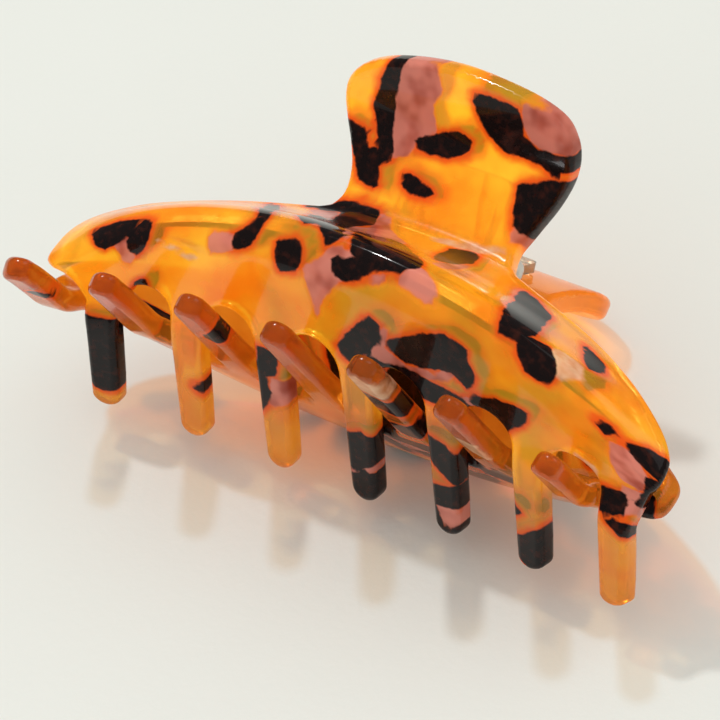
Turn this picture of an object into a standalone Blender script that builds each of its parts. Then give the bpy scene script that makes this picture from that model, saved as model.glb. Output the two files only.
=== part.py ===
"""Claw hair clip lying on its side: two interlocking acetate claws on a sprung pin hinge.

Every piece is drawn in the clip frame: x along the hinge pin, m from the hinge toward
the teeth, n outward on the upper claw. The lower claw is the same piece turned half a
turn about the m axis, with a shorter first tooth and a narrower tab. rest_frame lays the clip on its lower
belly and lower tab.
"""
import math

import bmesh
import bpy
from mathutils import Matrix, Vector

MM = 0.001

# --- acetate sheet and teeth (mm) ---
SHEET = 3.0
EDGE_ROUND = 0.75
TEETH = 7
PITCH = 13.0
INTERLOCK = PITCH / 4
TOOTH_ROOT = 5.0
TOOTH_TIP = 4.0
TIP_Y = 54.6
GULLET_Y = 32.2
HALF_LENGTH = 46.8
SHORT_TOOTH = 4.5
TAB_TRIM = 2.4
TAB_END_Y = -21.6

# --- centre section of the outer face, (m, n) from tab end to tooth tip (mm) ---
SECTION = (
    (-15.4, 22.2),
    (-13.1, 17.8),
    (-10.8, 13.4),
    (-7.7, 10.1),
    (-4.2, 7.7),
    (-1.0, 7.0),
    (4.2, 11.0),
    (11.0, 19.0),
    (14.9, 17.2),
    (17.6, 12.0),
    (19.6, 6.6),
    (21.2, 1.5),
    (22.7, -3.8),
    (24.2, -9.0),
    (26.0, -15.1),
)
VALLEY = 5

# --- hinge (mm) ---
AXIS_M = -4.2
PIN_RADIUS = 1.0
PIN_HALF = 9.9
HEAD_RADIUS = 1.7
HEAD_THICK = 0.7
BORE_RADIUS = 1.3
EYE_RADIUS = 2.5
LUG_THICK = 1.8
LUG_INNER = 4.3
LUG_OUTER = 6.4
GAP = 0.3
PLATE_THICK = 1.3
PLATE_X = (-6.8, 8.2)
PLATE_Y = (-9.2, -0.9)

# --- torsion spring (mm) ---
WIRE = 0.42
COIL_RADIUS = 1.95
COIL_HALF = 3.4
TURNS = 6
LEG_Y = -8.8

# --- resting pose ---
TILT_DEG = 5.014
AXIS_HEIGHT = 20.427
AXIS_Y = 9.14

# --- mesh density (mm) ---
STEP_X = 3.5
STEP_Y = 1.8


def clear_scene():
    for obj in list(bpy.data.objects):
        bpy.data.objects.remove(obj, do_unlink=True)


def material(name, colour, metallic=0.0, roughness=0.25, transmission=0.0):
    mat = bpy.data.materials.new(name)
    mat.use_nodes = True
    shader = mat.node_tree.nodes["Principled BSDF"]
    shader.inputs["Base Color"].default_value = (*colour, 1.0)
    shader.inputs["Metallic"].default_value = metallic
    shader.inputs["Roughness"].default_value = roughness
    shader.inputs["Transmission Weight"].default_value = transmission
    mat.diffuse_color = (*colour, 1.0)
    return mat


def lerp(a, b, t):
    return a + (b - a) * t


def controls(x):
    """Section control points at this x: the crescent narrows and flattens toward its ends."""
    u = (x / 40.0) ** 2
    swell = max(0.0, 1.0 - (abs(x) / 47.0) ** 2.2)
    pts = [list(p) for p in SECTION]
    shift_m = 7.0 * u
    shift_n = -2.5 * u - 0.4 * u * u
    pts[VALLEY] = [SECTION[VALLEY][0] + shift_m, SECTION[VALLEY][1] + shift_n]
    for k, share in ((VALLEY - 2, 0.25), (VALLEY - 1, 0.6)):
        pts[k] = [SECTION[k][0] + shift_m * share, SECTION[k][1] + shift_n * share]
    low_m, low_n = pts[VALLEY]
    top = [11.0 + 3.2 * u, low_n + 12.0 * swell]
    pts[6] = [lerp(low_m, top[0], 0.43), lerp(low_n, top[1], 0.35)]
    pts[7] = top
    pts[9] = [17.6 + 1.6 * u, 2.3 + 9.7 * swell]
    pts[8] = [lerp(top[0], pts[9][0], 0.59), lerp(pts[9][1], top[1], 0.75)]
    pts[10] = [19.6 + 1.1 * u, 1.0 + 5.6 * swell]
    pts[11] = [21.2 + 2.6 * u, 1.5 - 2.4 * (1.0 - swell)]
    pts[12] = [22.7 + 2.9 * u, -3.8 - 1.2 * (1.0 - swell)]
    pts[13] = [24.2 + 2.7 * u, -9.0 + 0.8 * u]
    pts[14] = [26.0 + 2.4 * u, -15.1 + 3.2 * u]
    return pts


def knots():
    """Arc length of each control point along the centre section, zero at the valley."""
    total = [0.0]
    for a, b in zip(SECTION, SECTION[1:]):
        total.append(total[-1] + math.dist(a, b))
    return [s - total[VALLEY] for s in total]


KNOTS = knots()


def spline(pts, y):
    """Smooth curve through the control points at pattern height y."""
    last = len(pts) - 1
    if y <= KNOTS[0]:
        k = 0
    else:
        k = last - 1
        for i in range(last):
            if y <= KNOTS[i + 1]:
                k = i
                break
    span = KNOTS[k + 1] - KNOTS[k]
    t = (y - KNOTS[k]) / span
    out = []
    for axis in (0, 1):
        p = [q[axis] for q in pts]
        slope = []
        for j in (k, k + 1):
            a = max(j - 1, 0)
            b = min(j + 1, last)
            slope.append((p[b] - p[a]) / (KNOTS[b] - KNOTS[a]) * span)
        if t < 0.0:
            out.append(p[k] + slope[0] * t)
        elif t > 1.0:
            out.append(p[k + 1] + slope[1] * (t - 1.0))
        else:
            h = (2 * t**3 - 3 * t**2 + 1, t**3 - 2 * t**2 + t, -2 * t**3 + 3 * t**2, t**3 - t**2)
            out.append(h[0] * p[k] + h[1] * slope[0] + h[2] * p[k + 1] + h[3] * slope[1])
    return out


def face_point(x, y):
    m, n = spline(controls(x), y)
    return Vector((x, m, n))


def formed(x, y, z):
    """Flat sheet position (x, y, height z over the outer face) bent onto the claw."""
    d = 0.25
    along = face_point(x, y + d) - face_point(x, y - d)
    across = face_point(x + d, y) - face_point(x - d, y)
    normal = across.cross(along).normalized()
    return face_point(x, y) + normal * z


def arc(cx, cy, radius, start, end, steps):
    out = []
    for i in range(steps + 1):
        a = math.radians(lerp(start, end, i / steps))
        out.append((cx + radius * math.cos(a), cy + radius * math.sin(a)))
    return out


def smooth_path(points, steps):
    """Catmull-Rom curve through a few outline points."""
    out = []
    for i in range(len(points) - 1):
        p0 = points[max(i - 1, 0)]
        p1, p2 = points[i], points[i + 1]
        p3 = points[min(i + 2, len(points) - 1)]
        for j in range(steps):
            t = j / steps
            q = []
            for a, b, c, d in zip(p0, p1, p2, p3):
                square = (2 * a - 5 * b + 4 * c - d) * t**2
                cube = (3 * b - a - 3 * c + d) * t**3
                q.append(0.5 * (2 * b + (c - a) * t + square + cube))
            out.append(tuple(q))
    out.append(tuple(points[-1]))
    return out


def tooth_x(index):
    return (index - (TEETH - 1) / 2) * PITCH + INTERLOCK


def pattern(first_tip, trim):
    """Outline of one flat claw before it is formed, anticlockwise from the right of the neck."""
    right_side = [(13.4, -0.9), (12.8, -2.4), (13.9, -5.0), (15.6, -8.2), (17.0, -11.6), (17.4, -14.4)]
    right_top = [(16.8, -17.0), (15.0, -19.2), (11.2, -20.6), (5.8, -21.35)]
    left_top = [(-5.8, -20.95), (-11.2, -19.6), (-14.7, -17.8), (-16.6, -15.4), (-17.0, -13.0)]
    left_side = [(-16.3, -10.6), (-14.9, -7.9), (-13.7, -5.0), (-13.3, -2.4), (-14.0, -0.9)]
    left = []
    for x, y in left_top + left_side:
        share = min(1.0, max(0.0, (-3.0 - y) / 8.0)) * min(1.0, -x / 14.0)
        left.append((x + trim * share, y))
    tab = smooth_path(right_side + right_top + [(0.0, TAB_END_Y)] + left, 4)
    rear_left = [(-15.2, -0.15), (-20.0, 0.8), (-30.0, 2.4), (-35.0, 4.2), (-40.0, 7.2), (-43.6, 10.8)]
    end_left = [(-45.8, 15.0), (-46.8, 20.0), (-46.6, 25.0), (-45.0, 29.6)]
    outline = tab + smooth_path(rear_left + end_left, 3)[:-1]
    half_root = TOOTH_ROOT / 2
    half_tip = TOOTH_TIP / 2
    gap = (PITCH - TOOTH_ROOT) / 2
    for i in range(TEETH):
        cx = tooth_x(i)
        if i == 0:
            outline += smooth_path([(-45.0, 29.6), (-41.8, 32.4), (cx - half_root - 0.3, 35.6)], 4)
        drop = -0.8 * (cx / 40.0) ** 2
        base = GULLET_Y + gap + drop
        tip = first_tip if i == 0 else TIP_Y
        outline.append((cx - half_root + 0.25, base + 5.0))
        outline.append((cx - half_tip - 0.12, tip - half_tip - 4.0))
        outline += arc(cx, tip - half_tip, half_tip, 180, 0, 8)
        outline.append((cx + half_tip + 0.12, tip - half_tip - 4.0))
        outline.append((cx + half_root - 0.25, base + 5.0))
        if i < TEETH - 1:
            mid = cx + PITCH / 2
            outline += arc(mid, base, gap, 180, 360, 10)
    last = tooth_x(TEETH - 1) + half_root
    end_right = [(last - 0.2, 38.6), (44.9, 35.4), (45.7, 30.0), (46.5, 24.5), (46.7, 19.5), (45.8, 15.0)]
    rear_right = [(43.6, 10.8), (40.0, 7.2), (35.0, 4.2), (30.0, 2.4), (20.0, 0.8), (15.2, -0.15)]
    outline += smooth_path(end_right + rear_right, 3)
    return tidy_outline(outline)


def tidy_outline(points):
    out = []
    for p in points:
        if not out or math.dist(p, out[-1]) > 0.25:
            out.append(p)
    if math.dist(out[0], out[-1]) <= 0.25:
        out.pop()
    return out


def slab(outline, z_low, z_high, edge):
    """Flat solid of this outline with softened edges."""
    bm = bmesh.new()
    verts = [bm.verts.new((x, y, z_low)) for x, y in outline]
    base = bm.faces.new(verts)
    made = bmesh.ops.extrude_face_region(bm, geom=[base])
    top = [v for v in made["geom"] if isinstance(v, bmesh.types.BMVert)]
    bmesh.ops.translate(bm, verts=top, vec=(0, 0, z_high - z_low))
    bmesh.ops.recalc_face_normals(bm, faces=bm.faces[:])
    if edge > 0:
        rim = [e for e in bm.edges if abs(e.verts[0].co.z - e.verts[1].co.z) < 1e-6]
        bmesh.ops.bevel(bm, geom=rim, offset=edge, segments=1, profile=0.5, affect="EDGES")
    return bm


def cut_grid(bm, step_x, step_y, bounds):
    """Splits the solid along a grid so it can be bent smoothly."""
    x0, x1, y0, y1 = bounds
    for axis, low, high, step in ((0, x0, x1, step_x), (1, y0, y1, step_y)):
        count = int(round((high - low) / step))
        for i in range(1, count):
            at = lerp(low, high, i / count)
            point = [0.0, 0.0, 0.0]
            point[axis] = at
            direction = [0.0, 0.0, 0.0]
            direction[axis] = 1.0
            geom = bm.verts[:] + bm.edges[:] + bm.faces[:]
            bmesh.ops.bisect_plane(bm, geom=geom, dist=0.02, plane_co=point, plane_no=direction)


def to_object(bm, name, mat, parent, smooth=False):
    bmesh.ops.recalc_face_normals(bm, faces=bm.faces[:])
    if bm.calc_volume(signed=True) < 0:
        bmesh.ops.reverse_faces(bm, faces=bm.faces[:])
    mesh = bpy.data.meshes.new(name)
    bm.to_mesh(mesh)
    bm.free()
    mesh.transform(Matrix.Diagonal((MM, MM, MM, 1.0)))
    mesh.materials.append(mat)
    if smooth:
        for poly in mesh.polygons:
            poly.use_smooth = True
    obj = bpy.data.objects.new(name, mesh)
    bpy.context.scene.collection.objects.link(obj)
    obj.parent = parent
    return obj


def from_axis(point):
    """Clip-frame point to a right-handed local frame centred on the pin: (x, -m, n)."""
    return Vector((point[0], -(point[1] - AXIS_M), point[2]))


def bend(bm):
    for v in bm.verts:
        x, y, z = v.co
        v.co = from_axis(formed(x, y, z))


def claw(name, mat, parent, first_tip, trim):
    bm = slab(pattern(first_tip, trim), -SHEET, 0.0, EDGE_ROUND)
    cut_grid(bm, STEP_X, STEP_Y, (-HALF_LENGTH, HALF_LENGTH, TAB_END_Y, TIP_Y))
    bmesh.ops.triangulate(bm, faces=[f for f in bm.faces if len(f.verts) > 4])
    bmesh.ops.dissolve_degenerate(bm, dist=0.02, edges=bm.edges[:])
    bmesh.ops.triangulate(bm, faces=bm.faces[:])
    bend(bm)
    return to_object(bm, name, mat, parent)


def lug(x_low, x_high):
    """Plate with a round eye on the pin, reaching up to the bracket's base plate."""
    reach = [formed(0.0, y, -SHEET - GAP - 0.5) for y in (-1.6, -4.0, -6.5, -9.0)]
    top = [(p.y - AXIS_M, p.z) for p in reach]
    eye = arc(0.0, 0.0, EYE_RADIUS, 160, 395, 16)
    outer = eye + top
    bore = arc(0.0, 0.0, BORE_RADIUS, 0, 360, 20)[:-1]
    sheet = bmesh.new()
    edges = []
    for loop in (outer, bore):
        verts = [sheet.verts.new((x_low, -m, n)) for m, n in loop]
        for i, v in enumerate(verts):
            edges.append(sheet.edges.new((v, verts[(i + 1) % len(verts)])))
    bmesh.ops.triangle_fill(sheet, edges=edges, use_beauty=True, use_dissolve=False)
    made = bmesh.ops.extrude_face_region(sheet, geom=sheet.faces[:])
    far = [v for v in made["geom"] if isinstance(v, bmesh.types.BMVert)]
    bmesh.ops.translate(sheet, verts=far, vec=(x_high - x_low, 0, 0))
    bmesh.ops.recalc_face_normals(sheet, faces=sheet.faces[:])
    mesh = bpy.data.meshes.new("lug")
    sheet.to_mesh(mesh)
    sheet.free()
    return mesh


def bracket(name, mat, parent):
    """Base plate glued under the tab, with two lugs whose eyes take the pin."""
    y0, y1 = PLATE_Y
    x0, x1 = PLATE_X
    outline = [(x0, y0), (x1, y0), (x1, y1), (x0, y1)]
    bm = slab(outline, -SHEET - GAP - PLATE_THICK, -SHEET - GAP, 0.0)
    cut_grid(bm, x1 - x0, 1.0, (x0, x1, y0, y1))
    for v in bm.verts:
        x, y, z = v.co
        v.co = from_axis(formed(0.0, y, z) + Vector((x, 0, 0)))
    body = to_object(bm, name, mat, parent)
    spans = ((LUG_OUTER, LUG_OUTER + LUG_THICK), (-LUG_INNER - LUG_THICK, -LUG_INNER))
    for i, (low, high) in enumerate(spans):
        mesh = lug(low, high)
        mesh.transform(Matrix.Diagonal((MM, MM, MM, 1.0)))
        tool = bpy.data.objects.new(f"{name}_lug_{i}", mesh)
        bpy.context.scene.collection.objects.link(tool)
        tool.parent = parent
        tool.hide_render = True
        tool.hide_set(True)
        tool.display_type = "WIRE"
        join = body.modifiers.new(f"lug_{i}", "BOOLEAN")
        join.operation = "UNION"
        join.solver = "EXACT"
        join.object = tool
    return body


def ring(bm, radius, x, sides):
    pts = arc(0.0, 0.0, radius, 0, 360, sides)[:-1]
    return [bm.verts.new((x, a, b)) for a, b in pts]


def turned(name, stations, sides, mat, parent):
    """Solid of revolution about the pin axis from (x, radius) stations."""
    bm = bmesh.new()
    rings = [ring(bm, r, x, sides) for x, r in stations]
    for a, b in zip(rings, rings[1:]):
        for i in range(sides):
            j = (i + 1) % sides
            bm.faces.new((a[i], a[j], b[j], b[i]))
    bm.faces.new(rings[0])
    bm.faces.new(rings[-1])
    return to_object(bm, name, mat, parent, smooth=True)


def spring_path():
    """Centre line: upper leg, coil around the pin, lower leg (half-turn symmetric about m)."""
    leg_tip = from_axis(formed(0.0, LEG_Y, -SHEET - GAP - PLATE_THICK - GAP - WIRE))
    leave = math.atan2(leg_tip.z, leg_tip.y) - math.acos(COIL_RADIUS / math.hypot(leg_tip.y, leg_tip.z))
    sweep = 2 * math.pi * TURNS + 2 * leave
    coil = []
    steps = 96
    for i in range(steps + 1):
        t = i / steps
        a = leave - sweep * t
        x = lerp(COIL_HALF, -COIL_HALF, t)
        coil.append(Vector((x, COIL_RADIUS * math.cos(a), COIL_RADIUS * math.sin(a))))
    first = Vector((COIL_HALF, leg_tip.y, leg_tip.z))
    last = Vector((-COIL_HALF, leg_tip.y, -leg_tip.z))
    upper = [first.lerp(coil[0], k / 4) for k in range(4)]
    lower = [coil[-1].lerp(last, k / 4) for k in range(1, 5)]
    return upper + coil + lower


def tube(name, path, radius, sides, mat, parent):
    bm = bmesh.new()
    rings = []
    side = Vector((1.0, 0.0, 0.0))
    for i, p in enumerate(path):
        ahead = path[min(i + 1, len(path) - 1)] - path[max(i - 1, 0)]
        ahead.normalize()
        side = (side - ahead * side.dot(ahead)).normalized()
        up = ahead.cross(side)
        loop = []
        for k in range(sides):
            a = 2 * math.pi * k / sides
            loop.append(bm.verts.new(p + (side * math.cos(a) + up * math.sin(a)) * radius))
        rings.append(loop)
    for a, b in zip(rings, rings[1:]):
        for k in range(sides):
            j = (k + 1) % sides
            bm.faces.new((a[k], a[j], b[j], b[k]))
    bm.faces.new(rings[0])
    bm.faces.new(rings[-1])
    return to_object(bm, name, mat, parent, smooth=True)


def empty(name, parent=None):
    obj = bpy.data.objects.new(name, None)
    bpy.context.scene.collection.objects.link(obj)
    obj.parent = parent
    return obj


def build():
    clear_scene()
    amber = material("acetate_amber", (0.85, 0.42, 0.06), roughness=0.1, transmission=0.4)
    brown = material("acetate_amber_far", (0.72, 0.30, 0.04), roughness=0.1, transmission=0.4)
    clear_a = material("bracket_clear_upper", (0.80, 0.62, 0.30), roughness=0.15, transmission=0.6)
    clear_b = material("bracket_clear_lower", (0.78, 0.56, 0.26), roughness=0.15, transmission=0.6)
    steel = material("pin_steel", (0.62, 0.60, 0.56), metallic=1.0)
    wire = material("spring_steel", (0.72, 0.62, 0.40), metallic=1.0)

    rest = empty("rest_frame")
    rest.location = (0.0, AXIS_Y * MM, AXIS_HEIGHT * MM)
    rest.rotation_euler = (math.radians(TILT_DEG), 0.0, 0.0)
    upper = empty("upper_side", rest)
    lower = empty("lower_side", rest)
    lower.rotation_euler = (0.0, math.pi, 0.0)

    claw("claw_upper", amber, upper, TIP_Y, 0.0)
    claw("claw_lower", brown, lower, TIP_Y - SHORT_TOOTH, TAB_TRIM)
    bracket("bracket_upper", clear_a, upper)
    bracket("bracket_lower", clear_b, lower)
    head = PIN_HALF + HEAD_THICK
    stations = (
        (-head, HEAD_RADIUS - 0.4),
        (-head + 0.3, HEAD_RADIUS),
        (-PIN_HALF, HEAD_RADIUS),
        (-PIN_HALF, PIN_RADIUS),
        (PIN_HALF, PIN_RADIUS),
        (PIN_HALF, HEAD_RADIUS),
        (head - 0.3, HEAD_RADIUS),
        (head, HEAD_RADIUS - 0.4),
    )
    turned("hinge_pin", stations, 24, steel, rest)
    tube("torsion_spring", spring_path(), WIRE, 8, wire, rest)


build()
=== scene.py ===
"""Looks for the tortoiseshell claw clip: its claws, brackets, pin and spring in fine detail."""
import math

import bmesh
import bpy
import numpy as np
from mathutils import Matrix, Vector


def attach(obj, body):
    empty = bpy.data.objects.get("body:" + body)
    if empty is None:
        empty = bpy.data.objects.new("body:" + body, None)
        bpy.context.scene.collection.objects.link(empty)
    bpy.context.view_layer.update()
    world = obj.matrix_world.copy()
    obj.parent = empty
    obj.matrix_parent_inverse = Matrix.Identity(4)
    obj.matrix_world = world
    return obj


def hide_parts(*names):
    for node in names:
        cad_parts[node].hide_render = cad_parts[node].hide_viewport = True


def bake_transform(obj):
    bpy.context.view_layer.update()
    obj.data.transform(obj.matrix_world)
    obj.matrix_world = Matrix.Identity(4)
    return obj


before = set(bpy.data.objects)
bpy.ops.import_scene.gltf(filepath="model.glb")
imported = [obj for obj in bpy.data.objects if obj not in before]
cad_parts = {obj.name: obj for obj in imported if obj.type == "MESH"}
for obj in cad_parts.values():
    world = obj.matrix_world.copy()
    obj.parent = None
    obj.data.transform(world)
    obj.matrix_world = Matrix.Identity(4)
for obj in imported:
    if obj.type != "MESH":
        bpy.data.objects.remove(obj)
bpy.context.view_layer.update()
MM = 0.001

# --- the clip's own dimensions, in mm, as in the CAD ---
SHEET = 3.0
EDGE_ROUND = 0.95
TEETH = 7
PITCH = 13.0
INTERLOCK = PITCH / 4
TOOTH_ROOT = 5.0
TOOTH_TIP = 4.0
TIP_Y = 54.6
SHORT_TOOTH = 4.5
TAB_TRIM = 2.4
GULLET_Y = 32.2
HALF_LENGTH = 46.8
TAB_END_Y = -21.6
SECTION = (
    (-15.4, 22.2),
    (-13.1, 17.8),
    (-10.8, 13.4),
    (-7.7, 10.1),
    (-4.2, 7.7),
    (-1.0, 7.0),
    (4.2, 11.0),
    (11.0, 19.0),
    (14.9, 17.2),
    (17.6, 12.0),
    (19.6, 6.6),
    (21.2, 1.5),
    (22.7, -3.8),
    (24.2, -9.0),
    (26.0, -15.1),
)
VALLEY = 5
AXIS_M = -4.2
PIN_RADIUS = 1.0
PIN_HALF = 9.9
HEAD_RADIUS = 1.7
HEAD_THICK = 0.7
BORE_RADIUS = 1.3
EYE_RADIUS = 2.5
LUG_THICK = 1.8
LUG_INNER = 4.3
LUG_OUTER = 6.4
GAP = 0.3
PLATE_THICK = 1.3
PLATE_X = (-6.8, 8.2)
PLATE_Y = (-9.2, -0.9)
WIRE = 0.42
COIL_RADIUS = 1.95
COIL_HALF = 3.4
TURNS = 6
LEG_Y = -8.8
TILT_DEG = 5.014
AXIS_HEIGHT = 20.427
AXIS_Y = 9.14
STEP_X = 1.1
STEP_Y = 1.1
CROWDED = 0.12
PLATE_CORNER = 1.2
LUG_REACH = (-1.6, -2.8, -4.0, -5.3, -6.5, -7.8, -9.0)
COIL_STEPS = 240
LEG_STEPS = 12
SHARD_LEAN = (0.22, -0.16)

TILT = Matrix.Rotation(math.radians(TILT_DEG), 4, "X")
REST = Matrix.Translation((0.0, AXIS_Y, AXIS_HEIGHT)) @ TILT
UPPER = REST
LOWER = REST @ Matrix.Rotation(math.pi, 4, "Y")

# --- camera in the clip frame (x along the pin, m toward the teeth, n out of the upper claw) ---
CAMERA_AT = (327.2, 294.8, 468.1)
CAMERA_FORWARD = (-0.515, -0.4396, -0.7359)
CAMERA_UP = (-0.3006, -0.7113, 0.6353)
CAMERA_LENS = 259.2

# --- shards of colour, drawn on the flat claw (x along the pin, y from the neck to the teeth) ---
DARK = (
    (
        (-9.6, -20.4), (-8.3, -20.2), (-9.2, -15), (-9.3, -11), (-8.4, -7.6), (-9.6, -7.2),
        (-10.8, -10.5), (-11.9, -13.2), (-11.1, -16.5),
    ),
    (
        (-5.3, -10.6), (-4.6, -9.9), (-0.5, -10), (2.2, -11.3), (2.6, -12.6), (1.2, -13.3),
        (-1, -12.8), (-3, -11.6),
    ),
    (
        (2.6, -18.8), (4.5, -19.4), (9, -19), (9.8, -17.4), (9.9, -15.6), (12.5, -14.4),
        (18.5, -14.9), (18, -13.4), (14.5, -12.8), (11, -13.4), (8, -13.2), (5.5, -14.6),
        (3.8, -16.6),
    ),
    ((10.6, -9.2), (14.5, -11), (17.5, -11.5), (15.6, -7.5), (14, -4.4), (11.6, -5), (11, -7)),
    (
        (-16, -10.2), (-13, -9.8), (-12.4, -8.3), (-10, -6.6), (-9, -3.8), (-11.5, -4.2),
        (-13.6, -7.2),
    ),
    ((-5.9, -6.2), (-3.5, -5.9), (-1.2, -4.9), (-3.2, -4.3), (-5.5, -5)),
    ((-16, 1.2), (-12.5, -0.8), (-10.5, -1.2), (-11, 0.6), (-13.8, 1.4)),
    ((-12.4, 5.4), (-10.2, 6.6), (-8, 10), (-4.8, 15.2), (-5.8, 17), (-8.4, 14.5)),
    (
        (-11.8, -0.9), (-7.2, -0.9), (-5.6, 3.2), (-6, 6.8), (-3.4, 12.2), (-0.2, 17.6),
        (-1.4, 18.9), (-3.2, 17), (-6.6, 10.5), (-9.4, 4.6),
    ),
    (
        (0.2, 7), (3, 7.8), (6.2, 11.4), (9.6, 14.4), (10.8, 16.8), (9.2, 18.8), (6.2, 19.2),
        (2.4, 19), (0.8, 15.6), (-1.6, 10.8),
    ),
    ((5.8, 1.2), (8.8, 0.2), (9.6, 2.6), (9.2, 5.6), (8.6, 8.6), (7.4, 7.2), (6.2, 4.2)),
    (
        (18, 3), (20.4, 3.2), (23.6, 5.2), (25.4, 11), (27, 15.6), (26, 18.6), (23.8, 19),
        (22.2, 14), (20.2, 8.4),
    ),
    ((30, 6.4), (33.4, 8), (34.6, 11), (33.8, 13.2), (32.4, 11.2), (31.2, 8.6)),
    ((26.6, 17.6), (29.2, 16.4), (31.4, 18.8), (31, 21), (28.4, 21.4), (26.4, 19.4)),
    ((-8.2, 20.4), (-5.6, 19.9), (-4.6, 20.8), (-5, 23), (-7.4, 23.6)),
    ((0.2, 20), (5.4, 20.4), (3, 21.9), (0.6, 21.9)),
    ((-39.2, 19.8), (-35, 19.3), (-31.4, 19.5), (-32.6, 21.6), (-35.6, 24.2), (-37.2, 22.8)),
    ((-30.8, 19.6), (-28.8, 19.8), (-29, 23.2), (-30.4, 25.2), (-31.6, 24.4), (-31.9, 21.8)),
    ((-15, 20.8), (-12.6, 19.4), (-12, 17), (-11.4, 18.4), (-12.4, 21.4), (-14.6, 22.6)),
    ((-20.6, 2.6), (-19, 3.6), (-14, 11.4), (-11.6, 17), (-12.6, 17.2), (-16.4, 10.8)),
    ((-32.2, 33.6), (-30.2, 31), (-28.8, 30), (-29, 33.2), (-30.2, 35), (-31.6, 34.8)),
    ((1.4, 31.6), (3.4, 29), (5.8, 26), (7.6, 26.4), (7, 29), (5.2, 31), (2, 32.6)),
    ((8.6, 28.6), (13, 25.6), (17.2, 23.4), (20.2, 24), (19.4, 26.4), (16, 28.8), (11.6, 29.8)),
    ((18.4, 28), (20.2, 25.8), (21.6, 27.2), (20.6, 29.2)),
    (
        (2, 32.8), (6, 31.8), (12, 31.2), (19.4, 31.8), (21.6, 33), (18, 33.6), (13, 34),
        (9.4, 33.4), (5.8, 33.2),
    ),
    ((20.8, 31), (24.4, 29.2), (28.8, 28.2), (28.2, 30.8), (25.6, 33.6), (24.6, 36), (23.2, 33.2)),
    ((41.4, 20.8), (46.2, 17.4), (47, 21.6), (44.6, 22)),
    ((45.2, 24), (47, 22), (47, 30), (46, 34), (44.8, 33.4), (45.6, 28)),
    ((39.8, 34), (43, 33), (43.4, 36.2), (40.4, 37)),
    ((37.6, 21), (39.8, 20.2), (39.2, 21.8)),
    ((-38.6, 38), (-33, 38.4), (-33.2, 50), (-36, 51), (-38.6, 49.4)),
    ((-21.8, 45.4), (-20.2, 44.8), (-20.2, 46.6)),
    ((-12.8, 38.5), (-11, 39.5), (-10, 42.5), (-11.6, 45.8), (-13, 45)),
    ((-11.2, 36.2), (-8.6, 36.4), (-9.2, 39.4), (-11.2, 38.8)),
    ((0.6, 45.2), (3.8, 43.8), (6, 44.8), (5.8, 47.8), (3.2, 49), (0.6, 49.4)),
    ((1, 51), (5.8, 49.6), (5.8, 53), (3, 55)),
    ((13.4, 39.8), (17, 40), (19, 42), (18, 45), (15, 43.4)),
    ((13.8, 47.6), (19, 46), (19, 49.2), (14, 49.8)),
    ((13.8, 50), (14.8, 50.4), (16, 54), (18.6, 52.4), (18.6, 55), (14, 55)),
    ((26.6, 43.6), (28.2, 44.6), (26.6, 46)),
    ((27.8, 49.4), (31.6, 46), (31.8, 52), (30, 54.6), (27.8, 52.4)),
    ((41.6, 38), (44.8, 37.2), (44.8, 39.2)),
)
PINK = (
    (
        (-8.4, -20.9), (-3, -21.2), (-2.2, -18.5), (-2.8, -17), (-3.6, -15.5), (-2.4, -12.2),
        (-5, -11.2), (-5.8, -8.6), (-8.2, -7.8), (-9.2, -11), (-9.2, -15),
    ),
    (
        (10, -20.2), (14, -19.6), (18.3, -17.6), (18.6, -15.2), (14, -14.9), (12, -15.3),
        (10.2, -17.5),
    ),
    ((11.2, -4.9), (13.8, -4.9), (14, -3.4), (11.8, -3.1)),
    ((-15, 2.2), (-12, 0.9), (-8.6, 5), (-9.5, 6.2), (-12.2, 5.4)),
    ((-7, -0.9), (-5.2, -0.6), (-2.6, 3), (2.2, 6.4), (1.6, 10.5), (-0.8, 11), (-4.6, 4.6)),
    ((-5.9, 6.4), (-4.6, 6), (0.6, 16.6), (0.2, 18.4), (-1, 16.5)),
    ((10.8, 16.6), (13.6, 18), (15.2, 19.8), (13.6, 20.6), (9.8, 19.8), (9.4, 18.6)),
    ((9.8, 2.4), (10.8, 6), (11.8, 13.2), (10.6, 12.8), (9.2, 9.2), (9.2, 5.8)),
    (
        (-4.2, 22.8), (-1.6, 20.6), (0, 18.6), (2.8, 19.2), (1.8, 22.2), (0.2, 24.2), (-1.4, 26.4),
        (-1.8, 28.4), (-2.6, 25.6),
    ),
    ((4.8, 21), (7.8, 19.8), (7, 21), (5.6, 21.4)),
    (
        (-32.6, 21.8), (-31.7, 22), (-31.4, 24.6), (-30.6, 25.6), (-31.6, 27.6), (-33, 25.6),
        (-34.2, 23.6),
    ),
    ((-18.8, 20.8), (-15.2, 20.6), (-14.4, 22.6), (-18.2, 23.6)),
    (
        (7.4, 27), (8.8, 26), (8.2, 29.2), (11.6, 30.4), (16, 29.4), (19.6, 26.4), (17.8, 30),
        (14.8, 30.9), (9.6, 31.6), (5.6, 31.6),
    ),
    ((19.6, 31), (24, 31.2), (22, 34), (20.6, 32.6)),
    ((40, 22.4), (43, 21), (45.2, 24), (45, 29.4), (42.2, 30), (40.6, 27)),
    ((42.4, 31.6), (45.4, 30), (45, 35), (42.8, 36.4)),
    ((-9.8, 40.2), (-6.8, 40.6), (-6.8, 43.2), (-10, 44.8)),
    ((0.6, 49.8), (5.8, 48.2), (5.8, 49.2), (1.2, 51)),
    ((14.8, 50), (17.8, 49.4), (18.6, 52), (16.4, 53.8)),
)
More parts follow.
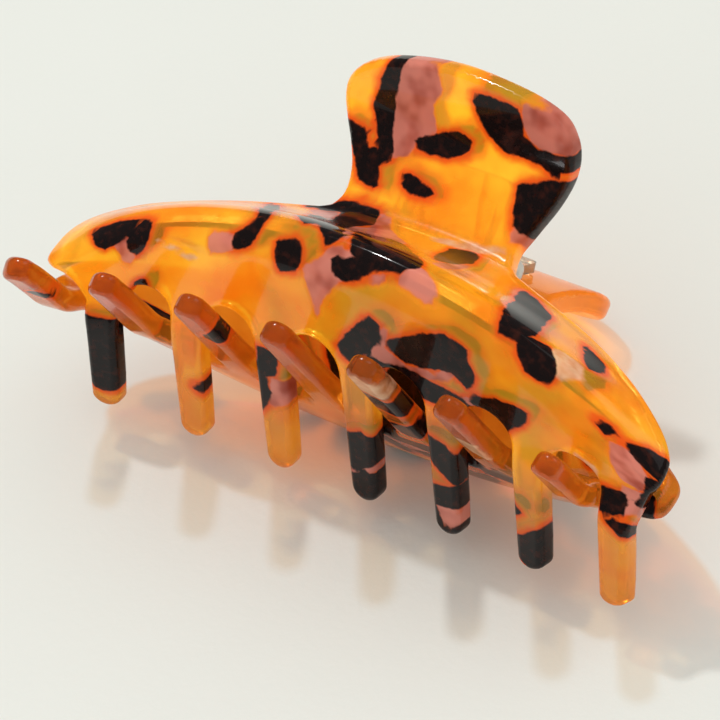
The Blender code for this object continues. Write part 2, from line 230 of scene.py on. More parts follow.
CREAM = (
    ((1.5, 0.6), (5, -0.6), (11.5, -2.2), (12, -1.6), (6, 0.6), (2, 1.4)),
    ((29.6, 14.6), (33.2, 14), (34.6, 17), (32, 20.2), (29.8, 17.6)),
    ((-27.8, 22), (-22, 24.2), (-20, 24.6), (-21.5, 25.4), (-25.5, 24)),
    ((35.2, 30.2), (39, 31), (38.8, 34.2), (36.6, 34.6)),
    ((-0.9, 23), (0.6, 21.4), (0.4, 23.6), (-1.2, 26)),
    ((-33, 22.4), (-32, 22.6), (-32, 24)),
)
LOWER_TEETH_DARK = (
    ((-12.4, 43), (-7, 45), (-7.2, 48.6), (-10.4, 47.4), (-12.6, 46)),
    ((-12.4, 37), (-9, 36), (-8.6, 39), (-12.4, 40)),
    ((40, 44), (42.6, 45.6), (41, 47)),
    ((13.8, 46), (16, 47.4), (14, 49)),
)
LOWER_TEETH_CREAM = (
    ((-12.4, 48), (-8, 49), (-7, 52.6), (-10, 54), (-12, 52)),
    ((-24.8, 41), (-22, 42.6), (-21, 46.4), (-24.6, 46)),
)


def lerp(a, b, t):
    return a + (b - a) * t


def controls(x):
    """Section control points at this x: the crescent narrows and flattens toward its ends."""
    u = (x / 40.0) ** 2
    swell = max(0.0, 1.0 - (abs(x) / 47.0) ** 2.2)
    pts = [list(p) for p in SECTION]
    shift_m = 7.0 * u
    shift_n = -2.5 * u - 0.4 * u * u
    pts[VALLEY] = [SECTION[VALLEY][0] + shift_m, SECTION[VALLEY][1] + shift_n]
    for k, share in ((VALLEY - 2, 0.25), (VALLEY - 1, 0.6)):
        pts[k] = [SECTION[k][0] + shift_m * share, SECTION[k][1] + shift_n * share]
    low_m, low_n = pts[VALLEY]
    top = [11.0 + 3.2 * u, low_n + 12.0 * swell]
    pts[6] = [lerp(low_m, top[0], 0.43), lerp(low_n, top[1], 0.35)]
    pts[7] = top
    pts[9] = [17.6 + 1.6 * u, 2.3 + 9.7 * swell]
    pts[8] = [lerp(top[0], pts[9][0], 0.59), lerp(pts[9][1], top[1], 0.75)]
    pts[10] = [19.6 + 1.1 * u, 1.0 + 5.6 * swell]
    pts[11] = [21.2 + 2.6 * u, 1.5 - 2.4 * (1.0 - swell)]
    pts[12] = [22.7 + 2.9 * u, -3.8 - 1.2 * (1.0 - swell)]
    pts[13] = [24.2 + 2.7 * u, -9.0 + 0.8 * u]
    pts[14] = [26.0 + 2.4 * u, -15.1 + 3.2 * u]
    return pts


def knots():
    """Arc length of each control point along the centre section, zero at the valley."""
    total = [0.0]
    for a, b in zip(SECTION, SECTION[1:]):
        total.append(total[-1] + math.dist(a, b))
    return [s - total[VALLEY] for s in total]


KNOTS = knots()


def spline(pts, y):
    """Smooth curve through the control points at pattern height y."""
    last = len(pts) - 1
    k = 0
    if y > KNOTS[0]:
        k = last - 1
        for i in range(last):
            if y <= KNOTS[i + 1]:
                k = i
                break
    span = KNOTS[k + 1] - KNOTS[k]
    t = (y - KNOTS[k]) / span
    out = []
    for axis in (0, 1):
        p = [q[axis] for q in pts]
        slope = []
        for j in (k, k + 1):
            a = max(j - 1, 0)
            b = min(j + 1, last)
            slope.append((p[b] - p[a]) / (KNOTS[b] - KNOTS[a]) * span)
        if t < 0.0:
            out.append(p[k] + slope[0] * t)
        elif t > 1.0:
            out.append(p[k + 1] + slope[1] * (t - 1.0))
        else:
            h = (2 * t**3 - 3 * t**2 + 1, t**3 - 2 * t**2 + t, -2 * t**3 + 3 * t**2, t**3 - t**2)
            out.append(h[0] * p[k] + h[1] * slope[0] + h[2] * p[k + 1] + h[3] * slope[1])
    return out


def face_point(x, y):
    m, n = spline(controls(x), y)
    return Vector((x, m, n))


def sheet_frame(x, y):
    """Point on the outer face and the unit directions across, along and out of the sheet there."""
    d = 0.25
    along = (face_point(x, y + d) - face_point(x, y - d)).normalized()
    across = (face_point(x + d, y) - face_point(x - d, y)).normalized()
    return face_point(x, y), across, along, across.cross(along).normalized()


def formed(x, y, z):
    """Flat sheet position (x, y, height z over the outer face) bent onto the claw."""
    at, _, _, out = sheet_frame(x, y)
    return at + out * z


def arc(cx, cy, radius, start, end, steps):
    out = []
    for i in range(steps + 1):
        a = math.radians(lerp(start, end, i / steps))
        out.append((cx + radius * math.cos(a), cy + radius * math.sin(a)))
    return out


def smooth_path(points, steps):
    """Catmull-Rom curve through a few outline points."""
    out = []
    for i in range(len(points) - 1):
        p0 = points[max(i - 1, 0)]
        p1, p2 = points[i], points[i + 1]
        p3 = points[min(i + 2, len(points) - 1)]
        for j in range(steps):
            t = j / steps
            q = []
            for a, b, c, d in zip(p0, p1, p2, p3):
                square = (2 * a - 5 * b + 4 * c - d) * t**2
                cube = (3 * b - a - 3 * c + d) * t**3
                q.append(0.5 * (2 * b + (c - a) * t + square + cube))
            out.append(tuple(q))
    out.append(tuple(points[-1]))
    return out


def tooth_x(index):
    return (index - (TEETH - 1) / 2) * PITCH + INTERLOCK


def pattern(first_tip, trim):
    """Outline of one flat claw before it is formed, anticlockwise from the right of the neck."""
    right_side = [(13.4, -0.9), (12.8, -2.4), (13.9, -5.0)]
    right_side += [(15.6, -8.2), (17.0, -11.6), (17.4, -14.4)]
    right_top = [(16.8, -17.0), (15.0, -19.2), (11.2, -20.6), (5.8, -21.35)]
    left_top = [(-5.8, -20.95), (-11.2, -19.6), (-14.7, -17.8), (-16.6, -15.4), (-17.0, -13.0)]
    left_side = [(-16.3, -10.6), (-14.9, -7.9), (-13.7, -5.0), (-13.3, -2.4), (-14.0, -0.9)]
    left = []
    for x, y in left_top + left_side:
        share = min(1.0, max(0.0, (-3.0 - y) / 8.0)) * min(1.0, -x / 14.0)
        left.append((x + trim * share, y))
    tab = smooth_path(right_side + right_top + [(0.0, TAB_END_Y)] + left, 7)
    rear_left = [(-15.2, -0.15), (-20.0, 0.8), (-30.0, 2.4)]
    rear_left += [(-35.0, 4.2), (-40.0, 7.2), (-43.6, 10.8)]
    end_left = [(-45.8, 15.0), (-46.8, 20.0), (-46.6, 25.0), (-45.0, 29.6)]
    outline = tab + smooth_path(rear_left + end_left, 7)[:-1]
    half_root = TOOTH_ROOT / 2
    half_tip = TOOTH_TIP / 2
    gap = (PITCH - TOOTH_ROOT) / 2
    for i in range(TEETH):
        cx = tooth_x(i)
        if i == 0:
            outline += smooth_path([(-45.0, 29.6), (-41.8, 32.4), (cx - half_root - 0.3, 35.6)], 6)
        drop = -0.8 * (cx / 40.0) ** 2
        base = GULLET_Y + gap + drop
        tip = first_tip if i == 0 else TIP_Y
        outline.append((cx - half_root + 0.25, base + 5.0))
        outline.append((cx - half_tip - 0.12, tip - half_tip - 4.0))
        outline += arc(cx, tip - half_tip, half_tip, 180, 0, 18)
        outline.append((cx + half_tip + 0.12, tip - half_tip - 4.0))
        outline.append((cx + half_root - 0.25, base + 5.0))
        if i < TEETH - 1:
            outline += arc(cx + PITCH / 2, base, gap, 180, 360, 22)
    last = tooth_x(TEETH - 1) + half_root
    end_right = [(last - 0.2, 38.6), (44.9, 35.4), (45.7, 30.0)]
    end_right += [(46.5, 24.5), (46.7, 19.5), (45.8, 15.0)]
    rear_right = [(43.6, 10.8), (40.0, 7.2), (35.0, 4.2), (30.0, 2.4), (20.0, 0.8), (15.2, -0.15)]
    outline += smooth_path(end_right + rear_right, 7)
    kept = []
    for p in outline:
        if not kept or math.dist(p, kept[-1]) > CROWDED:
            kept.append(p)
    if math.dist(kept[0], kept[-1]) <= CROWDED:
        kept.pop()
    return kept


def slab(outline, z_low, z_high, edge, segments):
    """Flat solid of this outline with rounded edges."""
    bm = bmesh.new()
    verts = [bm.verts.new((x, y, z_low)) for x, y in outline]
    base = bm.faces.new(verts)
    made = bmesh.ops.extrude_face_region(bm, geom=[base])
    top = [v for v in made["geom"] if isinstance(v, bmesh.types.BMVert)]
    bmesh.ops.translate(bm, verts=top, vec=(0, 0, z_high - z_low))
    bmesh.ops.recalc_face_normals(bm, faces=bm.faces[:])
    if edge > 0:
        rim = [e for e in bm.edges if abs(e.verts[0].co.z - e.verts[1].co.z) < 1e-6]
        bmesh.ops.bevel(bm, geom=rim, offset=edge, segments=segments, profile=0.5, affect="EDGES")
    return bm


def cut_grid(bm, step_x, step_y, bounds):
    """Splits the solid along a grid so it can be bent smoothly."""
    x0, x1, y0, y1 = bounds
    for axis, low, high, step in ((0, x0, x1, step_x), (1, y0, y1, step_y)):
        count = int(round((high - low) / step))
        for i in range(1, count):
            point = [0.0, 0.0, 0.0]
            point[axis] = lerp(low, high, i / count)
            direction = [0.0, 0.0, 0.0]
            direction[axis] = 1.0
            geom = bm.verts[:] + bm.edges[:] + bm.faces[:]
            bmesh.ops.bisect_plane(bm, geom=geom, dist=0.01, plane_co=point, plane_no=direction)


def shard_distance(points, shards):
    """Signed distance in mm from each flat point to the nearest shard, negative inside."""
    best = np.full(len(points), 9.0)
    for shard in shards:
        corners = np.array(shard, float)
        away = np.full(len(points), 1e9)
        inside = np.zeros(len(points), bool)
        for a, b in zip(corners, np.roll(corners, -1, axis=0)):
            edge = b - a
            rel = points - a
            t = np.clip(rel @ edge / (edge @ edge), 0, 1)
            away = np.minimum(away, np.hypot(*(rel - t[:, None] * edge).T))
            crosses = (a[1] > points[:, 1]) != (b[1] > points[:, 1])
            if a[1] != b[1]:
                at = a[0] + (points[:, 1] - a[1]) / (b[1] - a[1]) * edge[0]
                inside ^= crosses & (points[:, 0] < at)
        best = np.minimum(best, np.where(inside, -away, away))
    return best


def from_axis(point):
    """Clip-frame point to a right-handed local frame centred on the pin: (x, -m, n)."""
    return Vector((point[0], -(point[1] - AXIS_M), point[2]))


def add_object(name, mesh, place):
    mesh.transform(place)
    mesh.transform(Matrix.Diagonal((MM, MM, MM, 1.0)))
    obj = bpy.data.objects.new(name, mesh)
    bpy.context.scene.collection.objects.link(obj)
    return obj


def outward(bm):
    bmesh.ops.recalc_face_normals(bm, faces=bm.faces[:])
    if bm.calc_volume(signed=True) < 0:
        bmesh.ops.reverse_faces(bm, faces=bm.faces[:])


def claw(name, place, first_tip, trim, dark, pink, cream):
    """One formed claw with exact surface normals and the distances to its coloured shards."""
    bm = slab(pattern(first_tip, trim), -SHEET, 0.0, EDGE_ROUND, 4)
    cut_grid(bm, STEP_X, STEP_Y, (-HALF_LENGTH, HALF_LENGTH, TAB_END_Y, TIP_Y))
    bmesh.ops.triangulate(bm, faces=[f for f in bm.faces if len(f.verts) > 4])
    bmesh.ops.dissolve_degenerate(bm, dist=0.01, edges=bm.edges[:])
    bmesh.ops.recalc_face_normals(bm, faces=bm.faces[:])
    flat = np.array([v.co[:] for v in bm.verts])
    normals = []
    for v in bm.verts:
        if v.co.z > -1e-4:
            local = Vector((0, 0, 1))
        elif v.co.z < -SHEET + 1e-4:
            local = Vector((0, 0, -1))
        else:
            local = Vector((0, 0, 0))
            for f in v.link_faces:
                if abs(f.normal.z) < 0.999:
                    local += f.normal * f.calc_area()
            local.normalize()
        at, across, along, out = sheet_frame(v.co.x, v.co.y)
        bent = across * local.x + along * local.y + out * local.z
        normals.append(Vector((bent.x, -bent.y, bent.z)).normalized())
        v.co = from_axis(at + out * v.co.z)
    outward(bm)
    mesh = bpy.data.meshes.new(name)
    bm.to_mesh(mesh)
    bm.free()
    drift = flat[:, :2] + flat[:, 2:3] * np.array([SHARD_LEAN])
    for label, shards in (("dark", dark), ("pink", pink), ("cream", cream)):
        field = mesh.attributes.new(label, "FLOAT", "POINT")
        field.data.foreach_set("value", shard_distance(drift, shards).astype(np.float32))
    sheet = mesh.attributes.new("sheet", "FLOAT_VECTOR", "POINT")
    sheet.data.foreach_set("vector", flat.astype(np.float32).ravel())
    obj = add_object(name, mesh, place)
    turn = place.to_3x3()
    for poly in mesh.polygons:
        poly.use_smooth = True
    mesh.normals_split_custom_set_from_vertices([turn @ n for n in normals])
    return obj


def lug_mesh(x_low, x_high):
    """Plate with a round eye on the pin, reaching up to the bracket's base plate."""
    reach = [formed(0.0, y, -SHEET - GAP - 0.5) for y in LUG_REACH]
    top = [(p.y - AXIS_M, p.z) for p in reach]
    outer = arc(0.0, 0.0, EYE_RADIUS, 160, 395, 40) + top
    bore = arc(0.0, 0.0, BORE_RADIUS, 0, 360, 48)[:-1]
    sheet = bmesh.new()
    edges = []
    for loop in (outer, bore):
        verts = [sheet.verts.new((x_low, -m, n)) for m, n in loop]
        for i, v in enumerate(verts):
            edges.append(sheet.edges.new((v, verts[(i + 1) % len(verts)])))
    bmesh.ops.triangle_fill(sheet, edges=edges, use_beauty=True, use_dissolve=False)
    made = bmesh.ops.extrude_face_region(sheet, geom=sheet.faces[:])
    far = [v for v in made["geom"] if isinstance(v, bmesh.types.BMVert)]
    bmesh.ops.translate(sheet, verts=far, vec=(x_high - x_low, 0, 0))
    outward(sheet)
    mesh = bpy.data.meshes.new("lug")
    sheet.to_mesh(mesh)
    sheet.free()
    return mesh


def bracket(name, place):
    """Base plate glued under the tab, with two lugs whose eyes take the pin."""
    y0, y1 = PLATE_Y
    x0, x1 = PLATE_X
    right, left = x1 - PLATE_CORNER, x0 + PLATE_CORNER
    front, rear = y1 - PLATE_CORNER, y0 + PLATE_CORNER
    outline = []
    for turn, (cx, cy) in enumerate(((right, front), (left, front), (left, rear), (right, rear))):
        outline += arc(cx, cy, PLATE_CORNER, 90 * turn, 90 * turn + 90, 6)
    bm = slab(outline, -SHEET - GAP - PLATE_THICK, -SHEET - GAP, 0.0, 1)
    cut_grid(bm, x1 - x0, 0.5, (x0, x1, y0, y1))
    for v in bm.verts:
        x, y, z = v.co
        v.co = from_axis(formed(0.0, y, z) + Vector((x, 0, 0)))
    outward(bm)
    mesh = bpy.data.meshes.new(name)
    bm.to_mesh(mesh)
    bm.free()
    body = add_object(name, mesh, place)
    spans = ((LUG_OUTER, LUG_OUTER + LUG_THICK), (-LUG_INNER - LUG_THICK, -LUG_INNER))
    tools = []
    for i, (low, high) in enumerate(spans):
        tool = add_object(f"{name}_lug_{i}", lug_mesh(low, high), place)
        join = body.modifiers.new(f"lug_{i}", "BOOLEAN")
        join.operation = "UNION"
        join.solver = "EXACT"
        join.object = tool
        tools.append(tool)
    soften = body.modifiers.new("edges", "BEVEL")
    soften.width = 0.22 * MM
    soften.segments = 2
    soften.limit_method = "ANGLE"
    soften.angle_limit = math.radians(50)
    soften.harden_normals = False
    bpy.context.view_layer.update()
    solved = body.evaluated_get(bpy.context.evaluated_depsgraph_get())
    final = bpy.data.meshes.new_from_object(solved)
    body.modifiers.clear()
    body.data = final
    for tool in tools:
        bpy.data.objects.remove(tool, do_unlink=True)
    for poly in final.polygons:
        poly.use_smooth = True
    final.set_sharp_from_angle(angle=math.radians(35))
    return body


def turned(name, stations, sides, place):
    """Solid of revolution about the pin axis from (x, radius) stations."""
    bm = bmesh.new()
    rings = []
    for x, radius in stations:
        pts = arc(0.0, 0.0, radius, 0, 360, sides)[:-1]
        rings.append([bm.verts.new((x, a, b)) for a, b in pts])
    for a, b in zip(rings, rings[1:]):
        for i in range(sides):
            j = (i + 1) % sides
            bm.faces.new((a[i], a[j], b[j], b[i]))
    bm.faces.new(rings[0])
    bm.faces.new(rings[-1])
    outward(bm)
    mesh = bpy.data.meshes.new(name)
    bm.to_mesh(mesh)
    bm.free()
    for poly in mesh.polygons:
        poly.use_smooth = True
    mesh.set_sharp_from_angle(angle=math.radians(40))
    return add_object(name, mesh, place)


def spring_path():
    """Centre line: upper leg, coil around the pin, lower leg (half-turn symmetric about m)."""
    leg_tip = from_axis(formed(0.0, LEG_Y, -SHEET - GAP - PLATE_THICK - GAP - WIRE))
    reach = math.hypot(leg_tip.y, leg_tip.z)
    leave = math.atan2(leg_tip.z, leg_tip.y) - math.acos(COIL_RADIUS / reach)
    sweep = 2 * math.pi * TURNS + 2 * leave
    coil = []
    for i in range(COIL_STEPS + 1):
        t = i / COIL_STEPS
        a = leave - sweep * t
        x = lerp(COIL_HALF, -COIL_HALF, t)
        coil.append(Vector((x, COIL_RADIUS * math.cos(a), COIL_RADIUS * math.sin(a))))
    first = Vector((COIL_HALF, leg_tip.y, leg_tip.z))
    last = Vector((-COIL_HALF, leg_tip.y, -leg_tip.z))
    upper = [first.lerp(coil[0], k / LEG_STEPS) for k in range(LEG_STEPS)]
    lower = [coil[-1].lerp(last, k / LEG_STEPS) for k in range(1, LEG_STEPS + 1)]
    return upper + coil + lower


def tube(name, path, radius, sides, place):
    """Round wire along a path, with domed ends."""
    bm = bmesh.new()
    rings = []
    side = Vector((1.0, 0.0, 0.0))
    for i, p in enumerate(path):
        ahead = path[min(i + 1, len(path) - 1)] - path[max(i - 1, 0)]
        ahead.normalize()
        side = (side - ahead * side.dot(ahead)).normalized()
        up = ahead.cross(side)
        size = radius * (0.6 if i in (0, len(path) - 1) else 1.0)
        loop = []
        for k in range(sides):
            a = 2 * math.pi * k / sides
            loop.append(bm.verts.new(p + (side * math.cos(a) + up * math.sin(a)) * size))
        rings.append(loop)
    for a, b in zip(rings, rings[1:]):
        for k in range(sides):
            j = (k + 1) % sides
            bm.faces.new((a[k], a[j], b[j], b[k]))
    bm.faces.new(rings[0])
    bm.faces.new(rings[-1])
    outward(bm)
    mesh = bpy.data.meshes.new(name)
    bm.to_mesh(mesh)
    bm.free()
    for poly in mesh.polygons:
        poly.use_smooth = True
    mesh.set_sharp_from_angle(angle=math.radians(60))
    return add_object(name, mesh, place)


# --- materials ---
class Nodes:
    """Small helper that adds nodes and links them."""

    def __init__(self, name):
        self.mat = bpy.data.materials.new(name)
        self.mat.use_nodes = True
        self.tree = self.mat.node_tree
        self.shader = self.tree.nodes["Principled BSDF"]
        self.output = self.tree.nodes["Material Output"]

    def add(self, kind, inputs=None, **settings):
        node = self.tree.nodes.new(kind)
        for key, value in settings.items():
            setattr(node, key, value)
        for key, value in (inputs or {}).items():
            self.feed(node.inputs[key], value)
        return node

    def feed(self, socket, value):
        if isinstance(value, bpy.types.NodeSocket):
            self.tree.links.new(value, socket)
        else:
            socket.default_value = value

    def attribute(self, name, output="Fac"):
        return self.add("ShaderNodeAttribute", attribute_name=name).outputs[output]

    def math(self, operation, a, b=0.0, c=0.0, clamp=False):
        node = self.add("ShaderNodeMath", {0: a, 1: b, 2: c}, operation=operation)
        node.use_clamp = clamp
        return node.outputs[0]

    def ramp(self, value, low, high, start=0.0, end=1.0):
        """Smooth step of value from low to high."""
        node = self.add("ShaderNodeMapRange", {"Value": value, "From Min": low, "From Max": high})
        node.inputs["To Min"].default_value = start
        node.inputs["To Max"].default_value = end
        node.interpolation_type = "SMOOTHSTEP"
        return node.outputs[0]

    def mix(self, factor, a, b):
        node = self.add("ShaderNodeMix", data_type="RGBA")
        self.feed(node.inputs[0], factor)
        self.feed(node.inputs[6], a)
        self.feed(node.inputs[7], b)
        return node.outputs[2]

    def noise(self, vector, scale, detail=2.0, roughness=0.5, distortion=0.0):
        inputs = {"Vector": vector, "Scale": scale, "Detail": detail, "Roughness": roughness}
        inputs["Distortion"] = distortion
        return self.add("ShaderNodeTexNoise", inputs).outputs["Fac"]

    def bump(self, strength, distance, height):
        """Fine relief on the surface."""
        inputs = {"Strength": strength, "Distance": distance, "Height": height}
        node = self.add("ShaderNodeBump", inputs)
        self.feed(self.shader.inputs["Normal"], node.outputs["Normal"])

    def let_light_through(self, surface, tint):
        """Shows the surface, but casts the tinted shadow of a see-through piece."""
        lamp = self.add("ShaderNodeBsdfTransparent", {"Color": tint})
        path = self.add("ShaderNodeLightPath")
        joined = self.add("ShaderNodeMixShader", {0: path.outputs["Is Shadow Ray"]})
        self.tree.links.new(surface, joined.inputs[1])
        self.tree.links.new(lamp.outputs[0], joined.inputs[2])
        self.tree.links.new(joined.outputs[0], self.output.inputs["Surface"])


def rgb(r, g, b):
    return (r, g, b, 1.0)


PINK_LIGHT = rgb(0.86, 0.29, 0.21)
PINK_DEEP = rgb(0.46, 0.08, 0.045)
PINK_RIM = rgb(0.78, 0.12, 0.012)
CREAM_LIGHT = rgb(0.92, 0.62, 0.38)
CREAM_DEEP = rgb(0.80, 0.38, 0.18)
DARK_RIM = rgb(0.80, 0.10, 0.008)
BLACK = rgb(0.010, 0.006, 0.006)
BLACK_BROWN = rgb(0.045, 0.012, 0.008)
TIP_BROWN = rgb(0.58, 0.10, 0.01)
NO_LIGHT = rgb(0.0, 0.0, 0.0)
TEETH_CAST = rgb(0.82, 0.68, 0.48)
SHARD_CAST = rgb(0.2, 0.18, 0.18)
GLASSY_IOR = 1.49


def acetate(name, amber, deep, painted_light_strength, tip, cast):
    """Polished translucent sheet: amber ground, dark, pink and cream shards with red rims.

    The argument after deep sets the strength of painted light: emission that brightens the amber
    as though light came through it, though the sheet is no lamp. tip is how far the teeth turn
    brown, and cast the tint that one face gives to light on its way to the floor.
    """
    n = Nodes(name)
    at = n.attribute("sheet", "Vector")
    wobble = n.math("MULTIPLY_ADD", n.noise(at, 0.42, 2.0, 0.5), 0.9, -0.45)
    fine = n.math("MULTIPLY_ADD", n.noise(at, 1.5, 2.0, 0.5), 0.3, -0.15)
    jitter = n.math("ADD", wobble, fine)
    dark = n.math("ADD", n.math("SUBTRACT", n.attribute("dark"), 0.34), jitter)
    pink = n.math("ADD", n.math("SUBTRACT", n.attribute("pink"), 0.15), jitter)
    cream = n.math("SUBTRACT", n.attribute("cream"), jitter)
    clouds = n.noise(at, 0.09, 3.0, 0.55)
    along = n.add("ShaderNodeSeparateXYZ", {0: at}).outputs[1]
    ground = n.mix(n.ramp(clouds, 0.35, 0.7), amber, deep)
    ground = n.mix(n.ramp(along, 34.0, 50.0, 0.0, tip), ground, TIP_BROWN)
    streaks = n.ramp(n.noise(at, 0.2, 2.0), 0.4, 0.72)
    pink_tone = n.mix(streaks, PINK_LIGHT, PINK_DEEP)
    cream_tone = n.mix(n.ramp(n.noise(at, 0.5), 0.3, 0.7), CREAM_LIGHT, CREAM_DEEP)
    halo = n.ramp(dark, 0.1, 1.5, 1.0, 0.0)
    pink_edge = n.ramp(pink, -0.1, 0.9, 1.0, 0.0)
    colour = n.mix(n.math("MULTIPLY", pink_edge, 0.7), ground, PINK_RIM)
    colour = n.mix(halo, colour, DARK_RIM)
    in_cream = n.ramp(cream, -0.35, 0.35, 1.0, 0.0)
    in_pink = n.ramp(pink, -0.3, 0.2, 1.0, 0.0)
    in_dark = n.ramp(dark, -0.15, 0.2, 1.0, 0.0)
    colour = n.mix(in_cream, colour, cream_tone)
    colour = n.mix(in_pink, colour, pink_tone)
    blot = n.mix(n.ramp(n.noise(at, 0.8, 2.0), 0.45, 0.8), BLACK, BLACK_BROWN)
    colour = n.mix(in_dark, colour, blot)
    milky = n.math("MAXIMUM", in_pink, n.math("MULTIPLY", in_cream, 0.8))
    rim = n.math("MULTIPLY", n.math("MAXIMUM", halo, pink_edge), 0.78)
    solid = n.math("MAXIMUM", n.math("MAXIMUM", in_dark, rim), n.math("MULTIPLY", milky, 0.82))
    # painted light: the emission is strongest on the tab, weaker past the neck and weakest on the
    # teeth, and none is put on the dark or milky shards
    past_neck = n.ramp(along, -6.0, 6.0, 1.0, 0.62)
    strength = n.math("MINIMUM", past_neck, n.ramp(along, 30.0, 40.0, 1.0, 0.3))
    painted_light_share = n.math("MULTIPLY", strength, n.math("SUBTRACT", 1.0, n.math("MAXIMUM", in_dark, milky)))
    clear = n.math("SUBTRACT", 1.0, solid)
    passed = n.math("MULTIPLY", clear, 0.8)
    n.feed(n.shader.inputs["Base Color"], colour)
    n.feed(n.shader.inputs["Transmission Weight"], passed)
    n.shader.inputs["IOR"].default_value = GLASSY_IOR
    scuff = n.noise(at, 1.6, 4.0, 0.6)
    n.feed(n.shader.inputs["Roughness"], n.ramp(scuff, 0.3, 0.8, 0.12, 0.2))
    n.shader.inputs["Coat Weight"].default_value = 0.4
    # painted light: the sheet emits its own colour, though it is no lamp
    n.feed(n.shader.inputs["Emission Color"], n.mix(painted_light_share, NO_LIGHT, colour))
    n.shader.inputs["Emission Strength"].default_value = painted_light_strength
    n.shader.inputs["Specular IOR Level"].default_value = 0.12
    n.shader.inputs["Coat Roughness"].default_value = 0.03
    n.shader.inputs["Coat IOR"].default_value = GLASSY_IOR
    n.bump(0.05, 0.0004, n.noise(at, 0.25, 2.0))
    passing = n.mix(n.ramp(along, 26.0, 34.0), cast, TEETH_CAST)
    tint = n.mix(solid, passing, SHARD_CAST)
    scatter = n.add("ShaderNodeBsdfTranslucent", {"Color": colour})
    body = n.add("ShaderNodeMixShader", {0: 0.14})
    n.tree.links.new(n.shader.outputs[0], body.inputs[1])
    n.tree.links.new(scatter.outputs[0], body.inputs[2])
    n.let_light_through(body.outputs[0], tint)
    return n.mat


def clear_plastic(name):
    n = Nodes(name)
    coord = n.add("ShaderNodeTexCoord").outputs["Object"]
    colour = n.mix(n.noise(coord, 240.0), rgb(0.98, 0.90, 0.70), rgb(0.95, 0.80, 0.50))
    n.feed(n.shader.inputs["Base Color"], colour)
    n.shader.inputs["Transmission Weight"].default_value = 0.92
    n.shader.inputs["IOR"].default_value = GLASSY_IOR
    n.feed(n.shader.inputs["Roughness"], n.ramp(n.noise(coord, 900.0, 3.0), 0.3, 0.8, 0.05, 0.16))
    n.bump(0.25, 0.0003, n.noise(coord, 700.0, 3.0))
    n.let_light_through(n.shader.outputs[0], rgb(0.90, 0.84, 0.66))
    return n.mat


def metal(name, tone, dull, low, high):
    n = Nodes(name)
    coord = n.add("ShaderNodeTexCoord").outputs["Object"]
    colour = n.mix(n.ramp(n.noise(coord, 900.0, 3.0), 0.4, 0.75), tone, dull)
    n.feed(n.shader.inputs["Base Color"], colour)
    n.shader.inputs["Metallic"].default_value = 1.0
    wear = n.noise(coord, 1500.0, 4.0, 0.6)
    n.feed(n.shader.inputs["Roughness"], n.ramp(wear, 0.3, 0.75, low, high))
    n.bump(0.12, 0.00005, n.noise(coord, 2600.0, 3.0))
    return n.mat


def floor_material():
    n = Nodes("floor_paint")
    coord = n.add("ShaderNodeTexCoord").outputs["Object"]
    paler, greyer = rgb(0.785, 0.80, 0.735), rgb(0.765, 0.78, 0.715)
    n.feed(n.shader.inputs["Base Color"], n.mix(n.noise(coord, 30.0, 3.0), paler, greyer))
    n.shader.inputs["Roughness"].default_value = 0.45
    n.bump(0.15, 0.0002, n.noise(coord, 900.0, 3.0))
    return n.mat


def moved(shards):
    """Shards of the body alone, mirrored and shifted for the lower claw."""
    out = []
    for shard in shards:
        if -3.0 < max(p[1] for p in shard) < 37.0:
            out.append(tuple((2.0 - p[0], p[1] * 0.97 + 0.6) for p in shard))
    return tuple(out)


# --- pieces ---
amber_near = acetate(
    "acetate_tortoise_upper",
    amber=rgb(1.0, 0.55, 0.03),
    deep=rgb(0.94, 0.32, 0.012),
    painted_light_strength=0.36,
    tip=0.25,
    cast=rgb(0.84, 0.66, 0.42),
)
# painted shade: the lower claw is the same acetate as the upper one, made with darker amber and
# deep tones, browner teeth and weaker painted-light emission, as it lies under and behind the
# upper claw
amber_far_painted_shade = acetate(
    "acetate_tortoise_lower_painted_shade",
    amber=rgb(0.88, 0.36, 0.03),
    deep=rgb(0.70, 0.20, 0.01),
    painted_light_strength=0.22,
    tip=0.75,
    cast=rgb(1.0, 0.60, 0.12),
)

upper_claw = claw("upper_claw", UPPER, TIP_Y, 0.0, DARK, PINK, CREAM)
upper_claw.data.materials.append(amber_near)
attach(upper_claw, "upper_side")
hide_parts("claw_upper")

lower_dark = moved(DARK) + LOWER_TEETH_DARK
lower_pink = moved(PINK)
lower_cream = moved(CREAM) + LOWER_TEETH_CREAM
lower_tip = TIP_Y - SHORT_TOOTH
lower_claw = claw("lower_claw", LOWER, lower_tip, TAB_TRIM, lower_dark, lower_pink, lower_cream)
lower_claw.data.materials.append(amber_far_painted_shade)
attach(lower_claw, "lower_side")
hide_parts("claw_lower")

plastic = clear_plastic("bracket_clear_amber")
for side, place in (("upper", UPPER), ("lower", LOWER)):
    mount = bracket(f"{side}_bracket", place)
    mount.data.materials.clear()
    mount.data.materials.append(plastic)
    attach(mount, f"{side}_side")
    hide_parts(f"bracket_{side}")

HEAD = PIN_HALF + HEAD_THICK
stations = [
    (-HEAD, HEAD_RADIUS - 0.6),
    (-HEAD + 0.06, HEAD_RADIUS - 0.3),
    (-HEAD + 0.18, HEAD_RADIUS - 0.1),
    (-HEAD + 0.35, HEAD_RADIUS),
    (-PIN_HALF - 0.05, HEAD_RADIUS),
    (-PIN_HALF, HEAD_RADIUS - 0.05),
    (-PIN_HALF, PIN_RADIUS),
]
stations += [(-x, r) for x, r in reversed(stations)]
pin = turned("pin", stations, 64, REST)
steel = metal("pin_steel", rgb(0.66, 0.64, 0.60), rgb(0.50, 0.47, 0.42), 0.12, 0.3)
pin.data.materials.append(steel)
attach(pin, "lower_side")
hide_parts("hinge_pin")

spring = tube("spring", spring_path(), WIRE, 16, REST)
brass = metal("spring_gold_wire", rgb(0.86, 0.66, 0.32), rgb(0.62, 0.42, 0.16), 0.12, 0.28)
spring.data.materials.append(brass)
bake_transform(spring)
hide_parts("torsion_spring")

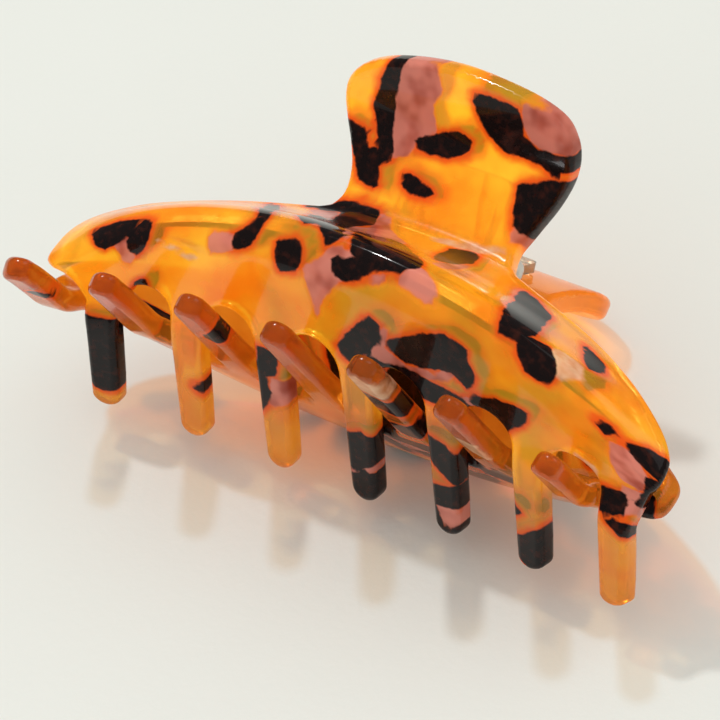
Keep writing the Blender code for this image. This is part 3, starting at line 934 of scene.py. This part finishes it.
# --- stage, light and camera ---
scene = bpy.context.scene
scene.view_settings.view_transform = "Standard"
floor_mesh = bpy.data.meshes.new("floor")
floor_mesh.from_pydata([(-3, -3, 0), (3, -3, 0), (3, 3, 0), (-3, 3, 0)], [], [(0, 1, 2, 3)])
floor = bpy.data.objects.new("floor", floor_mesh)
scene.collection.objects.link(floor)
floor_mesh.materials.append(floor_material())

world = bpy.data.worlds.new("studio")
scene.world = world
world.use_nodes = True
sky = world.node_tree.nodes["Background"]
sky.inputs["Color"].default_value = rgb(1.0, 1.0, 1.0)
ray = world.node_tree.nodes.new("ShaderNodeLightPath")
level = world.node_tree.nodes.new("ShaderNodeMapRange")
level.inputs["To Min"].default_value = 0.82
level.inputs["To Max"].default_value = 0.1
world.node_tree.links.new(ray.outputs["Is Glossy Ray"], level.inputs["Value"])
world.node_tree.links.new(level.outputs["Result"], sky.inputs["Strength"])


def area_light(name, at, target, size, power, tone):
    lamp = bpy.data.lights.new(name, "AREA")
    lamp.shape = "RECTANGLE"
    lamp.size, lamp.size_y = size
    lamp.energy = power
    lamp.color = tone
    obj = bpy.data.objects.new(name, lamp)
    obj.location = at
    obj.rotation_mode = "QUATERNION"
    obj.rotation_quaternion = (Vector(target) - Vector(at)).to_track_quat("-Z", "Y")
    scene.collection.objects.link(obj)


area_light("key", (-0.52, 0.30, 1.16), (0, 0, 0.01), (0.07, 0.07), 4.4, (1.0, 1.0, 1.0))
area_light("fill", (0.5, 0.5, 0.9), (0, 0, 0.01), (0.7, 0.5), 0.8, (1.0, 1.0, 1.0))


def world_direction(v):
    """Clip-frame direction (x, m, n) in world axes."""
    return REST.to_3x3() @ Vector((v[0], -v[1], v[2]))


back = -world_direction(CAMERA_FORWARD).normalized()
up = world_direction(CAMERA_UP)
right = up.cross(back).normalized()
up = back.cross(right).normalized()
camera_data = bpy.data.cameras.new("camera")
camera_data.lens = CAMERA_LENS
camera_data.sensor_width = 36.0
camera_data.clip_start = 0.01
camera_data.clip_end = 20.0
camera = bpy.data.objects.new("camera", camera_data)
scene.collection.objects.link(camera)
turn = Matrix((right, up, back)).transposed().to_4x4()
camera.matrix_world = Matrix.Translation(REST @ from_axis(CAMERA_AT) * MM) @ turn
scene.camera = camera
